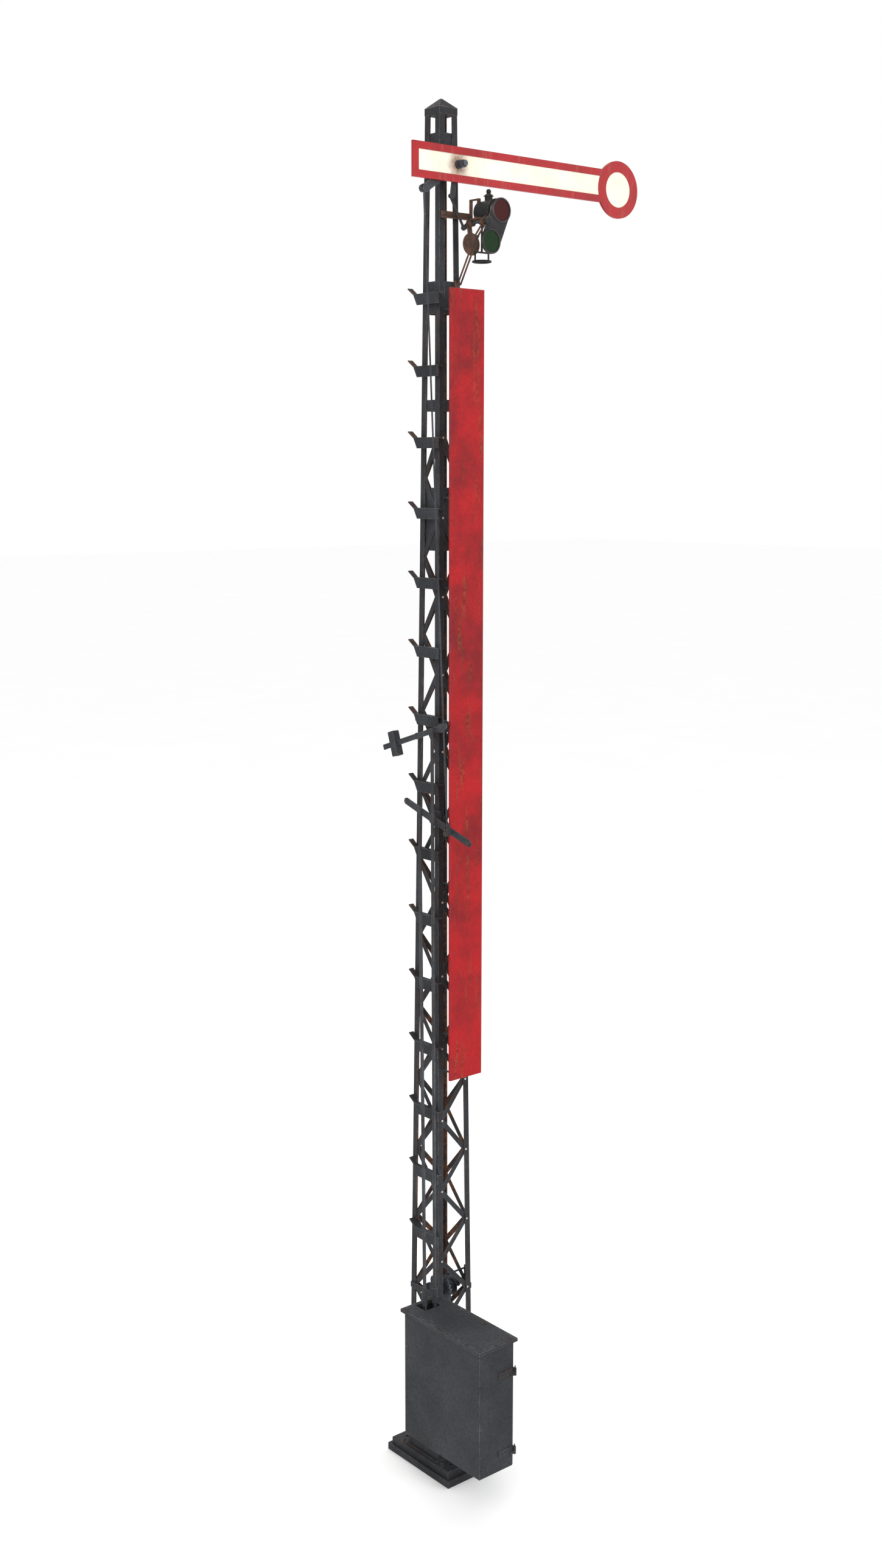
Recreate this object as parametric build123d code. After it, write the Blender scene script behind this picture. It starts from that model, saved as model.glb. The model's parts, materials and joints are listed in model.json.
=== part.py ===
from build123d import *
import os
from math import atan2, ceil, cos, degrees, hypot, pi, radians, sin

# Railway semaphore main signal on a lattice mast, in millimetres, +Z up.
# Origin: centre of the base plate's underside. The arm points to +X, its face to -Y.

# Mast: four tapering corner angles on a hollow pedestal
PEDESTAL_TOP = 930.0
PEDESTAL_HALF = 150.0
PEDESTAL_WALL = 6.0
LEG_TOP = 8155.0
HALF_AT_GROUND = 143.0
TAPER = 0.0097
LEG_FLANGE = 38.0
LEG_THICK = 5.0

# Zigzag lacing between the corner angles
LACE_FIRST_Z = 958.7
LACE_PITCH = 226.3
LACE_NODES = 25
LACE_WIDTH = 30.0
LACE_THICK = 5.0
LACE_INSET = 27.0
LACE_GAP = 0.1

# Base plates with the anchor holes
LOWER_PLATE = (384.0, 600.0, 45.0)
UPPER_PLATE = (350.0, 554.0, 47.0)
ANCHOR_X = 100.0
ANCHOR_Y = 215.0
ANCHOR_R = 11.0

# Battens, gusset plates and the open head of the mast
BATTENS_Z = ((6540.0, 6603.0), (7080.0, 7257.0))
GUSSET_Z = (5749.0, 6108.0)
HEAD_PANEL_Z = (7968.0, 8057.0)
HEAD_EAVES_Z = 8193.0
HEAD_TIP_Z = 8246.0

# Step irons up the left side
STEP_TOP_Z = 7224.0
STEP_PITCH = 400.0
STEP_COUNT = 15
STEPS_PER_NODE = 5
STEP_LENGTH = 222.0
STEP_DEPTH = 56.0
STEP_SHELF = 34.0
STEP_THICK = 6.0
STEP_HOOK_RISE = 37.0
STEP_HOOK_REACH = 53.0

# Mast board in front of the mast
BOARD_Z0, BOARD_Z1 = 2605.0, 7204.0
BOARD_HALF = 123.0
BOARD_FRONT_Y = -233.5
BOARD_BACK_Y = -229.5
BOARD_STAYS_Z = (7100.0, 6052.0, 5537.0, 4732.0, 3793.0, 2869.0, 2640.0)

# Arm
ARM_Z = 7877.0
ARM_BACK_Y = -134.0
ARM_PLATE_Y = -144.0
ARM_FACE_Y = -150.0
ARM_TAIL_X = -322.0
ARM_HEIGHT = 190.0
ARM_BORDER = 40.0
DISC_X = 1260.0
DISC_Z = 7866.0
DISC_R = 165.0
DISC_WHITE_R = 102.0
SHAFT_R = 15.0
RUN = 0.05

# Bell crank behind the arm: eye pin for the long pull rod, link pin for the spectacle
CRANK_PIN = (-213.0, 7736.0)
LINK_PIN = (-22.8, 7712.2)
EYE_PIN_R = 5.0
EYE_HOLE_R = 16.0
EYE_R = 24.0
PULL_Y = -108.5

# Spectacle: lenses swing about an axle below the arm
SPEC_X = 101.4
SPEC_Z = 7573.0
SPEC_Y = -292.0
LENS_ORBIT = 112.0
RED_DEG = 34.0
GREEN_DEG = -81.0
LENS_R = 60.0
RIM_R = 68.0
SPEC_AXLE_R = 8.0
SPEC_CRANK_R = 35.0
SPEC_CRANK_DEG = 221.12
SPEC_CRANK_Y = (-121.0, -115.0)
LINK_Y = (-111.0, -105.0)
BLINDER_Y = (-126.0, -122.5)
LAMP_R = 64.0

# Levers on the left side, both in one plane
LEVER_X = -150.0
LEVER_THICK = 8.0
LEVER_PIN_R = 8.0
ROD_LEVER_Y = -102.0
ROD_LEVER_Z = 4188.0
PULL_PIN = (-284.4, 4136.0)
DRIVE_PIN = (5.8, 4221.8)
ROD_LEVER_TAIL_Y = 139.0
ROD_LEVER_END = (-430.0, 4094.0)
PULL_X = -192.0
WEIGHT_Y = -178.0
WEIGHT_Z = 4738.0
WEIGHT_DEG = -18.3
RETURN_ARM = 70.0
WEIGHT_TAIL = 564.0
WEIGHT_HEAD = 40.0
BLOCK_ARM = 446.0

# Drive box beside the mast
BOX_X0, BOX_X1 = -415.0, -156.0
BOX_Y0, BOX_Y1 = -845.0, -156.0
BOX_Z0, BOX_Z1 = 401.0, 1190.0
BOX_WALL = 5.0
LID_Z = 1211.0
LID_OVER = 19.0
LID_HOLE = (-344.0, -220.0, -263.0, -147.0)
HINGE_X, HINGE_Y = -147.0, -854.0
HINGES_Z = (1006.0, 507.0)
BOX_BRACKETS_Z = (480.0, 860.0)

# Gear train in the drive box: a crank with a toothed sector, and a wire pulley with a pinion
CRANK_Y = -283.0
CRANK_Z = 834.0
CRANK_SWING = 83.0
CRANK_ARM_A = 51.5
CRANK_ARM_B = 33.3
MODULE = 10.0
SECTOR_TEETH = 45
PINION_TEETH = 20
GEAR_X0, GEAR_X1 = -300.0, -290.0
ROD_A_X = -326.0
ROD_B_X = -263.0
TRAIN_SHAFT_R = 10.0
FRAME_X = (-392.0, -198.0)
FRAME_THICK = 8.0
PULLEY_R = 185.0

# Winch for the lamp hoist, inside the foot of the lattice
WINCH_Z = 1155.0
WINCH_WHEEL_R = 103.0
WINCH_TEETH = 24
PAWL_Y = -80.0
PAWL_Z = 1285.0

BODY_GAP = 0.5


def half(z):
    """Half the mast's outer width at height z."""
    return HALF_AT_GROUND - TAPER * z


def block(x0, x1, y0, y1, z0, z1):
    centre = ((x0 + x1) / 2, (y0 + y1) / 2, (z0 + z1) / 2)
    return Pos(*centre) * Box(x1 - x0, y1 - y0, z1 - z0)


def rod(radius, start, end):
    """A round bar from one point to another."""
    a, b = Vector(*start), Vector(*end)
    plane = Plane(origin=a, z_dir=b - a)
    return plane.location * Pos(0, 0, (b - a).length / 2) * Cylinder(radius, (b - a).length)


def rod_x(radius, y, z, x0, x1):
    return rod(radius, (x0, y, z), (x1, y, z))


def rod_y(radius, x, z, y0, y1):
    return rod(radius, (x, y0, z), (x, y1, z))


def flat_y(points, y0, y1):
    """A plate cut from an outline in X and Z, between two depths in Y."""
    face = make_face(Polyline(*[(x, z) for x, z in points], close=True))
    return Plane(origin=(0, y1, 0), x_dir=(1, 0, 0), z_dir=(0, -1, 0)).location * extrude(face, y1 - y0)


def flat_x(points, x0, x1):
    """A plate cut from an outline in Y and Z, between two depths in X."""
    face = make_face(Polyline(*[(y, z) for y, z in points], close=True))
    return Plane(origin=(x0, 0, 0), x_dir=(0, 1, 0), z_dir=(1, 0, 0)).location * extrude(face, x1 - x0)


def strap(p, q, width):
    """Outline corners of a straight strap between two points of a plane."""
    length = hypot(q[0] - p[0], q[1] - p[1])
    nx = -(q[1] - p[1]) / length * width / 2
    ny = (q[0] - p[0]) / length * width / 2
    return [(p[0] + nx, p[1] + ny), (q[0] + nx, q[1] + ny), (q[0] - nx, q[1] - ny), (p[0] - nx, p[1] - ny)]


def flat_bar(start, end, width, thick):
    """A flat bar between two points, its width along Y and its thickness along X."""
    a, b = Vector(*start), Vector(*end)
    plane = Plane(origin=a, x_dir=(1, 0, -(b.X - a.X) / (b.Z - a.Z)), z_dir=b - a)
    return plane.location * Pos(0, 0, (b - a).length / 2) * Box(thick, width, (b - a).length)


def write(name, *solids):
    shape = solids[0] if len(solids) == 1 else Compound(children=list(solids))
    export_step(shape, f"parts/{name}.step")


# Foot and pedestal

def base_plates():
    spots = [(x, y) for x in (-ANCHOR_X, ANCHOR_X) for y in (-ANCHOR_Y, ANCHOR_Y)]
    holes = [Pos(x, y, 0) * Cylinder(ANCHOR_R, 300) for x, y in spots]
    w, d, h = LOWER_PLATE
    lower = block(-w / 2, w / 2, -d / 2, d / 2, 0, h) - holes
    uw, ud, uh = UPPER_PLATE
    upper = block(-uw / 2, uw / 2, -ud / 2, ud / 2, h, h + uh) - holes
    upper = chamfer(upper.faces().sort_by(Axis.Z)[-1].outer_wire().edges(), 6)
    write("base_plate_lower", lower)
    write("base_plate_upper", upper)
    return h + uh


def pedestal(floor_z):
    outer = block(-PEDESTAL_HALF, PEDESTAL_HALF, -PEDESTAL_HALF, PEDESTAL_HALF, floor_z, PEDESTAL_TOP)
    foot_half = PEDESTAL_HALF + 12
    outer += block(-foot_half, foot_half, -foot_half, foot_half, floor_z, floor_z + 14)
    outer = fillet(outer.edges().filter_by(Axis.Z).group_by(SortBy.LENGTH)[-1], 8)
    inner = PEDESTAL_HALF - PEDESTAL_WALL
    outer -= block(-inner, inner, -inner, inner, floor_z - 1, PEDESTAL_TOP - 8)
    write("pedestal", outer)


# Lattice mast

def leg_face(z, sx, sy):
    h = half(z)
    a, b = h - LEG_FLANGE, h - LEG_THICK
    corners = [(h, h), (a, h), (a, b), (b, b), (b, a), (h, a)]
    outline = [(sx * x, sy * y, z) for x, y in corners]
    return make_face(Polyline(*outline, close=True))


def mast_legs():
    for name, sx, sy in (("near", -1, -1), ("left", -1, 1), ("right", 1, -1), ("far", 1, 1)):
        leg = loft([leg_face(PEDESTAL_TOP, sx, sy), leg_face(LEG_TOP, sx, sy)], ruled=True)
        write(f"mast_leg_{name}", leg)


def face_plane(turn):
    """The tapering outer plane of one mast face, turned about the mast's axis."""
    plane = Plane(origin=(0, -HALF_AT_GROUND, 0), x_dir=(1, 0, 0), z_dir=(0, -1, TAPER))
    return Rot(0, 0, turn) * plane.location


def lace_point(k, left_is_odd):
    z = LACE_FIRST_Z + LACE_PITCH * k
    side = -1 if (k % 2 == 0) == left_is_odd else 1
    return (side * (half(z) - LACE_INSET), z)


def lacing_face(turn, left_is_odd):
    """Zigzag flats riveted inside the corner angles' flanges."""
    points = [lace_point(k, left_is_odd) for k in range(LACE_NODES)]
    sketch = Pos(*points[0]) * Circle(LACE_WIDTH / 2)
    for p, q in zip(points, points[1:]):
        sketch += make_face(Polyline(*strap(p, q, LACE_WIDTH), close=True))
        sketch += Pos(*q) * Circle(LACE_WIDTH / 2)
    depth = LEG_THICK + LACE_GAP + LACE_THICK
    return face_plane(turn) * Pos(0, 0, -depth) * extrude(sketch, LACE_THICK)


def lacing():
    faces = (("front", 0, True), ("right", 90, False), ("back", 180, True), ("left", 270, False))
    for name, turn, odd in faces:
        write(f"lacing_{name}", lacing_face(turn, odd))


def rivets():
    """Rivet heads on the front and back faces, one at each lacing node."""
    heads = []
    for turn in (0, 180):
        for k in range(LACE_NODES):
            x, z = lace_point(k, True)
            heads.append(face_plane(turn) * Pos(x, z, 0.1 + 2) * Cylinder(6.5, 4))
    write("lattice_rivets", *heads)


def batten(turn, z0, z1):
    width = 2 * (half(z0) - LEG_THICK - LACE_THICK) - 4
    depth = LEG_THICK + LACE_GAP + LACE_THICK
    plate = Pos(0, (z0 + z1) / 2, -depth + LACE_THICK / 2) * Box(width, z1 - z0, LACE_THICK)
    return face_plane(turn) * plate


def gusset(turn, z0, z1):
    """A wide plate behind the lacing."""
    depth = LEG_THICK + LACE_THICK + 2 * LACE_GAP
    width = 2 * (half(z1) - depth - LACE_THICK)
    plate = Pos(0, (z0 + z1) / 2, -depth - LACE_THICK / 2) * Box(width, z1 - z0, LACE_THICK)
    return face_plane(turn) * plate


def battens():
    turns = (0, 90, 180, 270)
    write("batten_plates", *[batten(turn, *span) for span in BATTENS_Z for turn in turns])
    write("gusset_plates", *[gusset(turn, *GUSSET_Z) for turn in turns])


def mast_head():
    """A square tube inside the leg ends, a band on top of them and a pyramid cap."""
    z0, z1 = HEAD_PANEL_Z
    outer = half(z1) - LEG_THICK - 0.2
    inner = outer - 5
    panel = block(-outer, outer, -outer, outer, z0, z1)
    panel -= block(-inner, inner, -inner, inner, z0 - 1, z1 + 1)
    eaves = half(LEG_TOP) + 1.5
    band = block(-eaves, eaves, -eaves, eaves, LEG_TOP, HEAD_EAVES_Z)
    write("mast_head", panel, band)
    base = Plane.XY.offset(HEAD_EAVES_Z) * Rectangle(2 * eaves, 2 * eaves)
    tip = Plane.XY.offset(HEAD_TIP_Z) * Rectangle(10, 10)
    write("mast_cap", loft([base, tip], ruled=True))


def step_iron(tip_z):
    """An angle bar held off the legs by cleats, with its far end bent up as a hook."""
    top = tip_z - STEP_HOOK_RISE
    x1 = -half(tip_z - 90)
    x0 = x1 - STEP_SHELF
    y0 = -half(tip_z) - 32
    y1 = y0 + STEP_LENGTH
    low = top - STEP_DEPTH
    outline = [(y0, low), (y0, top), (y1, top), (y1 - 30, low)]
    iron = flat_x(outline, x0, x0 + STEP_THICK)
    iron += block(x0, x1, y0, y1, top, top + STEP_THICK)
    tip = y1 + STEP_HOOK_REACH
    iron += flat_x([(y1, top), (tip, tip_z), (tip - 4, tip_z + 5), (y1, top + STEP_THICK)], x0, x1)
    leg_y = half(tip_z) - LEG_FLANGE / 2
    for y in (-leg_y, leg_y):
        if y + 10 < y1:
            iron += block(x0 + STEP_THICK - 1, x1, y - 10, y + 10, low + 20, top + 1)
    return iron


def step_irons():
    irons = [step_iron(STEP_TOP_Z - STEP_PITCH * i) for i in range(STEP_COUNT)]
    for first in range(0, STEP_COUNT, STEPS_PER_NODE):
        write(f"step_irons_{first // STEPS_PER_NODE + 1}", *irons[first:first + STEPS_PER_NODE])


# Red and white mast board

def mast_board():
    board = block(-BOARD_HALF, BOARD_HALF, BOARD_FRONT_Y, BOARD_BACK_Y, BOARD_Z0, BOARD_Z1)
    for side in (-1, 1):
        x = side * (BOARD_HALF - 2)
        board += block(x - 2, x + 2, BOARD_BACK_Y, BOARD_BACK_Y + 12.5, BOARD_Z0, BOARD_Z1)
    write("signal_board", board)
    spots = [(side * (half(z) - 33), z) for z in BOARD_STAYS_Z for side in (-1, 1)]
    write("board_stays", *[rod_y(6, x, z, BOARD_BACK_Y + 0.1, -half(z) - 0.1) for x, z in spots])


# Arm, shaft and bell crank

def arm_outline(inset):
    """Blade outline: a straight bar that runs into the round end."""
    low = ARM_Z - ARM_HEIGHT / 2 + inset
    high = ARM_Z + ARM_HEIGHT / 2 - inset
    return Pos((ARM_TAIL_X + inset + DISC_X) / 2, (low + high) / 2) * Rectangle(
        DISC_X - ARM_TAIL_X - inset, high - low)


def arm_slab(sketch, y0, y1):
    plane = Plane(origin=(0, y1, 0), x_dir=(1, 0, 0), z_dir=(0, -1, 0))
    return plane.location * extrude(sketch, y1 - y0)


def arm():
    disc = Pos(DISC_X, DISC_Z) * Circle(DISC_R)
    bore = rod_y(SHAFT_R, 0, ARM_Z, -300, 0)
    outline = arm_outline(0) + disc
    panel = arm_outline(ARM_BORDER) - disc
    target = Pos(DISC_X, DISC_Z) * Circle(DISC_WHITE_R)
    blade = arm_slab(outline, ARM_PLATE_Y, ARM_BACK_Y)
    rim = arm_slab(outline - panel - target, ARM_FACE_Y, ARM_PLATE_Y)
    write("arm_blade", blade + rim - bore)
    face_y = ARM_FACE_Y + 3.5
    write("arm_panel", arm_slab(panel, face_y, ARM_PLATE_Y) - bore)
    write("arm_disc", arm_slab(target, face_y, ARM_PLATE_Y))


def arm_shaft():
    shaft = rod_y(SHAFT_R, 0, ARM_Z, -216, 92)
    collar = rod_y(24, 0, ARM_Z, -166, -150) - rod_y(SHAFT_R, 0, ARM_Z, -170, -140)
    end_collar = rod_y(24, 0, ARM_Z, 78, 90) - rod_y(SHAFT_R, 0, ARM_Z, 70, 100)
    write("arm_shaft", shaft)
    hexagon = Pos(0, ARM_Z) * RegularPolygon(22, 6)
    nut = arm_slab(hexagon, -206, -186) - rod_y(SHAFT_R, 0, ARM_Z, -250, 0)
    write("arm_nut_and_collars", nut, collar, end_collar)


def arm_crank():
    y0, y1 = -130.0, -124.0
    hub = rod_y(32, 0, ARM_Z, ARM_BACK_Y, -100)
    web = flat_y(strap((0, ARM_Z), CRANK_PIN, 44), y0, y1)
    web += flat_y(strap((0, ARM_Z), LINK_PIN, 34), y0, y1)
    web += rod_y(22, *CRANK_PIN, y0, y1) + rod_y(17, *LINK_PIN, y0, y1)
    pins = rod_y(EYE_PIN_R, *CRANK_PIN, y1 - 1, -90) + rod_y(21, *CRANK_PIN, -93.5, -89.5)
    pins += rod_y(EYE_PIN_R, *LINK_PIN, y1 - 1, -101) + rod_y(9, *LINK_PIN, LINK_Y[1] + 0.6, -100)
    write("arm_crank", hub + web + pins - rod_y(SHAFT_R, 0, ARM_Z, -200, 0))


def arm_bearings():
    plates = []
    for side in (-1, 1):
        near = side * (half(7800) + 0.2)
        y0, y1 = sorted((near, near + side * 8))
        plate = block(-60, 60, y0, y1, 7812, 7942)
        plate += rod_y(26, 0, ARM_Z, *sorted((near, near + side * (22 if side < 0 else 10))))
        plates.append(plate - rod_y(SHAFT_R + RUN, 0, ARM_Z, -200, 200))
    write("arm_bearings", *plates)


# Long pull rod between the arm and the rod lever

def pull_rod():
    y, z = PULL_PIN
    top = (CRANK_PIN[0], PULL_Y, CRANK_PIN[1])
    joint_z = z + 44
    hub = rod_x(17, y, z, PULL_X - 12, PULL_X + 12)
    fork = hub + block(PULL_X - 12, PULL_X + 12, y - 12, y + 12, z, z + 26)
    fork += block(PULL_X - 12, PULL_X + 12, y - 12, y - 6.5, z + 20, joint_z + 14)
    fork += block(PULL_X - 12, PULL_X + 12, y + 6.5, y + 12, z + 20, joint_z + 14)
    fork += rod_y(6, PULL_X, joint_z, y - 15, y + 15)
    write("pull_rod_fork", fork - rod_x(LEVER_PIN_R + RUN, y, z, PULL_X - 40, PULL_X + 40))
    base = (PULL_X, y, joint_z)
    lean = Vector(*top) - Vector(*base)
    unit = lean.normalized()
    start = Vector(*base) + unit * 8
    end = Vector(*top) - unit * (EYE_HOLE_R + 3)
    bar = rod(5, start, end)
    bar += rod(6, end - unit * 120, end - unit * 8)
    bar += rod_y(EYE_R, top[0], top[2], PULL_Y - 3, PULL_Y + 3)
    bar -= rod_y(EYE_HOLE_R, top[0], top[2], PULL_Y - 20, PULL_Y + 20)
    bar += rod_y(12, PULL_X, joint_z, y - 5.5, y + 5.5)
    bar -= rod_y(6 + RUN, PULL_X, joint_z, y - 30, y + 30)
    write("pull_rod", bar)


# Levers

def rod_lever():
    x0, x1 = LEVER_X - LEVER_THICK / 2, LEVER_X + LEVER_THICK / 2
    centre = (ROD_LEVER_Y, ROD_LEVER_Z)
    tail_z = ROD_LEVER_Z + (ROD_LEVER_TAIL_Y - ROD_LEVER_Y) * 0.31
    web = flat_x(strap(centre, (ROD_LEVER_TAIL_Y, tail_z), 40), x0, x1)
    web += flat_x(strap(centre, ROD_LEVER_END, 40), x0, x1)
    for y, z, r in ((*centre, 30), (ROD_LEVER_TAIL_Y, tail_z, 20), (*ROD_LEVER_END, 20)):
        web += rod_x(r, y, z, x0, x1)
    web += rod_x(LEVER_PIN_R, *PULL_PIN, PULL_X - 17, x0 + 1)
    web += rod_x(13, *PULL_PIN, PULL_X - 20, PULL_X - 12.5)
    web += rod_x(LEVER_PIN_R, *DRIVE_PIN, x0 - 16, x0 + 1)
    web += rod_x(13, *DRIVE_PIN, x0 - 19, x0 - 14)
    write("rod_lever", web - rod_x(LEVER_PIN_R + RUN, *centre, -300, 0))


def polar(y, z, length, angle):
    return (y + length * cos(radians(angle)), z + length * sin(radians(angle)))


def weight_lever():
    x0, x1 = LEVER_X - LEVER_THICK / 2, LEVER_X + LEVER_THICK / 2
    centre = (WEIGHT_Y, WEIGHT_Z)
    tail = polar(*centre, WEIGHT_TAIL, WEIGHT_DEG)
    head = polar(*centre, WEIGHT_HEAD, WEIGHT_DEG + 180)
    return_pin = polar(*centre, RETURN_ARM, WEIGHT_DEG)
    web = flat_x(strap(head, tail, 32), x0, x1) + rod_x(24, *centre, x0, x1)
    web += rod_x(16, *head, x0, x1) + rod_x(20, *polar(*centre, 230, WEIGHT_DEG), x0, x1)
    web += rod_x(LEVER_PIN_R, *return_pin, x0 - 16, x0 + 1) + rod_x(13, *return_pin, x0 - 19, x0 - 14)
    web -= rod_x(LEVER_PIN_R + RUN, *centre, -300, 0)
    y, z = polar(*centre, BLOCK_ARM, WEIGHT_DEG)
    slot = flat_x(strap(head, tail, 32.4), x0 - 0.2, x1 + 0.2)
    tilt = Pos(LEVER_X, y, z) * Rot(WEIGHT_DEG, 0, 0)
    iron = chamfer((tilt * Box(49, 53, 150)).edges(), 3)
    write("weight_lever", web)
    write("counterweight", iron - slot)
    return return_pin


def lever_brackets():
    x1 = -half(ROD_LEVER_Z - 45)
    x0 = x1 - 8
    plate = block(x0, x1, -125, -62, ROD_LEVER_Z - 45, ROD_LEVER_Z + 45)
    pin = rod_x(16, ROD_LEVER_Y, ROD_LEVER_Z, LEVER_X + LEVER_THICK / 2 + BODY_GAP, x0)
    pin += rod_x(LEVER_PIN_R, ROD_LEVER_Y, ROD_LEVER_Z, LEVER_X - 9, x0)
    pin += rod_x(14, ROD_LEVER_Y, ROD_LEVER_Z, LEVER_X - 9, LEVER_X - LEVER_THICK / 2 - BODY_GAP)
    write("rod_lever_bracket", plate + pin)
    face = half(WEIGHT_Z - 45) + 0.2
    x1 = -face + 9
    x0 = x1 - 8
    low, high = WEIGHT_Z - 45, WEIGHT_Z + 45
    plate = flat_x([(-face, low), (-face, high), (-205, high - 19), (-205, low + 19)], x0, x1)
    plate += block(x0, -face + 23, -face - 8, -face, low, high)
    pin = rod_x(16, WEIGHT_Y, WEIGHT_Z, LEVER_X + LEVER_THICK / 2 + BODY_GAP, x0)
    pin += rod_x(LEVER_PIN_R, WEIGHT_Y, WEIGHT_Z, LEVER_X - 7.5, x0)
    pin += rod_x(12, WEIGHT_Y, WEIGHT_Z, LEVER_X - 7.5, LEVER_X - LEVER_THICK / 2 - BODY_GAP)
    write("weight_lever_bracket", plate + pin)


# Rods down to the drive box

def lever_rod(name, top, bottom, width):
    """A flat rod: a close eye on the lever's pin and a wide eye round the crank's pin."""
    x_top = top[0]
    bar = flat_bar(bottom, top, width, 8)
    bar += rod_x(17, top[1], top[2], x_top - 5, x_top + 5)
    bar += rod_x(EYE_R, bottom[1], bottom[2], bottom[0] - 4, bottom[0] + 4)
    bar -= rod_x(LEVER_PIN_R + RUN, top[1], top[2], x_top - 60, x_top + 60)
    bar -= rod_x(EYE_HOLE_R, bottom[1], bottom[2], bottom[0] - 30, bottom[0] + 30)
    lean = (Vector(*top) - Vector(*bottom)).normalized()
    sleeve = Vector(*bottom) + lean * 470
    bar += rod(17, (sleeve - lean * 45), (sleeve + lean * 45))
    write(name, bar)


def crank_pin(arm_length, swing):
    angle = radians(swing - CRANK_SWING / 2)
    return (CRANK_Y + arm_length * cos(angle), CRANK_Z + arm_length * sin(angle))


def drive_rods(return_pin):
    lever_face = LEVER_X - LEVER_THICK / 2
    top_x = lever_face - 7
    lever_rod("drive_rod", (top_x, *DRIVE_PIN), (ROD_A_X, *crank_pin(CRANK_ARM_A, 0)), 24)
    lever_rod("return_rod", (top_x, *return_pin), (ROD_B_X, *crank_pin(CRANK_ARM_B, 0)), 22)


# Drive box

def drive_box():
    w = BOX_WALL
    shell = block(BOX_X0, BOX_X1, BOX_Y0, BOX_Y1, BOX_Z0, BOX_Z1)
    shell -= block(BOX_X0 + w, BOX_X1 - w, BOX_Y0 + w, BOX_Y1 - w, BOX_Z0 + w, BOX_Z1 + 1)
    shell -= block(BOX_X1 - 2 * w, BOX_X1 + w, BOX_Y0 + 25, BOX_Y1 - 25, BOX_Z0 + 25, BOX_Z1 - 25)
    for z in HINGES_Z:
        shell += block(-270, HINGE_X - 5, BOX_Y0 - 5, BOX_Y0, z - 16, z + 16) - block(
            HINGE_X - 9.6, 0, HINGE_Y - 12, 0, z - 20, z + 20)
        leaf = rod(4, (HINGE_X, HINGE_Y, z - 30), (HINGE_X, HINGE_Y, z + 30))
        knuckle = rod(9, (HINGE_X, HINGE_Y, z - 30), (HINGE_X, HINGE_Y, z - 16))
        neck = block(-180, HINGE_X, BOX_Y0 - 10, BOX_Y0, z - 30, z - 16)
        shell += leaf + knuckle + neck
    write("drive_box", shell)


def drive_lid():
    x0, x1 = BOX_X0 - LID_OVER, BOX_X1 + LID_OVER
    y0, y1 = BOX_Y0 - LID_OVER, BOX_Y1 + LID_OVER
    lid = block(x0, x1, y0, y1, BOX_Z1 + 1, LID_Z)
    lid -= block(x0 + 3, x1 - 3, y0 + 3, y1 - 3, BOX_Z1 - 5, BOX_Z1 + 12)
    lid += block(x0 + 14, x1 - 14, y0 + 14, y1 - 14, LID_Z, LID_Z + 3)
    inner = 8
    lid += block(BOX_X0 + inner, BOX_X1 - inner, BOX_Y0 + inner, BOX_Y1 - inner, BOX_Z1 + 1, BOX_Z1 + 13)
    hx0, hx1, hy0, hy1 = LID_HOLE
    lid -= block(hx0, hx1, hy0, BOX_Y1 - inner - 4, BOX_Z1 - 20, LID_Z + 20)
    write("drive_lid", lid)


def drive_door():
    x0 = BOX_X1 + BODY_GAP
    door = block(x0, x0 + 5, BOX_Y0 + 3, BOX_Y1 - 4, BOX_Z0 + 4, BOX_Z1 - 4)
    door += block(x0 + 5, x0 + 8, BOX_Y0 + 40, BOX_Y1 - 40, BOX_Z0 + 40, BOX_Z1 - 40)
    for z in HINGES_Z:
        door += rod(9, (HINGE_X, HINGE_Y, z - 15), (HINGE_X, HINGE_Y, z + 15))
        door += block(x0 + 3, HINGE_X + 4, HINGE_Y, BOX_Y0 + 120, z - 14, z + 14)
        door -= rod(4 + RUN, (HINGE_X, HINGE_Y, z - 40), (HINGE_X, HINGE_Y, z + 40))
    door += rod_x(7, BOX_Y1 - 60, 800, x0 + 5, x0 + 26)
    write("drive_door", door)


def box_brackets():
    angles = []
    for z in BOX_BRACKETS_Z:
        wide = block(-270, -PEDESTAL_HALF - 0.1, BOX_Y1 + 0.1, BOX_Y1 + 6, z, z + 45)
        wide += block(-PEDESTAL_HALF - 6, -PEDESTAL_HALF - 0.1, BOX_Y1 + 0.1, -40, z, z + 45)
        for y in (-110, -70):
            wide += rod_x(9, y, z + 22, -PEDESTAL_HALF - 14, -PEDESTAL_HALF - 5)
        for x in (-240, -200):
            wide += rod_y(9, x, z + 22, BOX_Y1 + 5, BOX_Y1 + 14)
        angles.append(wide)
    write("box_brackets", *angles)


# Gear train

def gear_tooth(root_r, tip_r, angle, root_w, tip_w):
    c, s = cos(angle), sin(angle)
    corners = [(root_r - 3, -root_w / 2), (tip_r, -tip_w / 2), (tip_r, tip_w / 2), (root_r - 3, root_w / 2)]
    return make_face(Polyline(*[(a * c - b * s, a * s + b * c) for a, b in corners], close=True))


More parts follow.
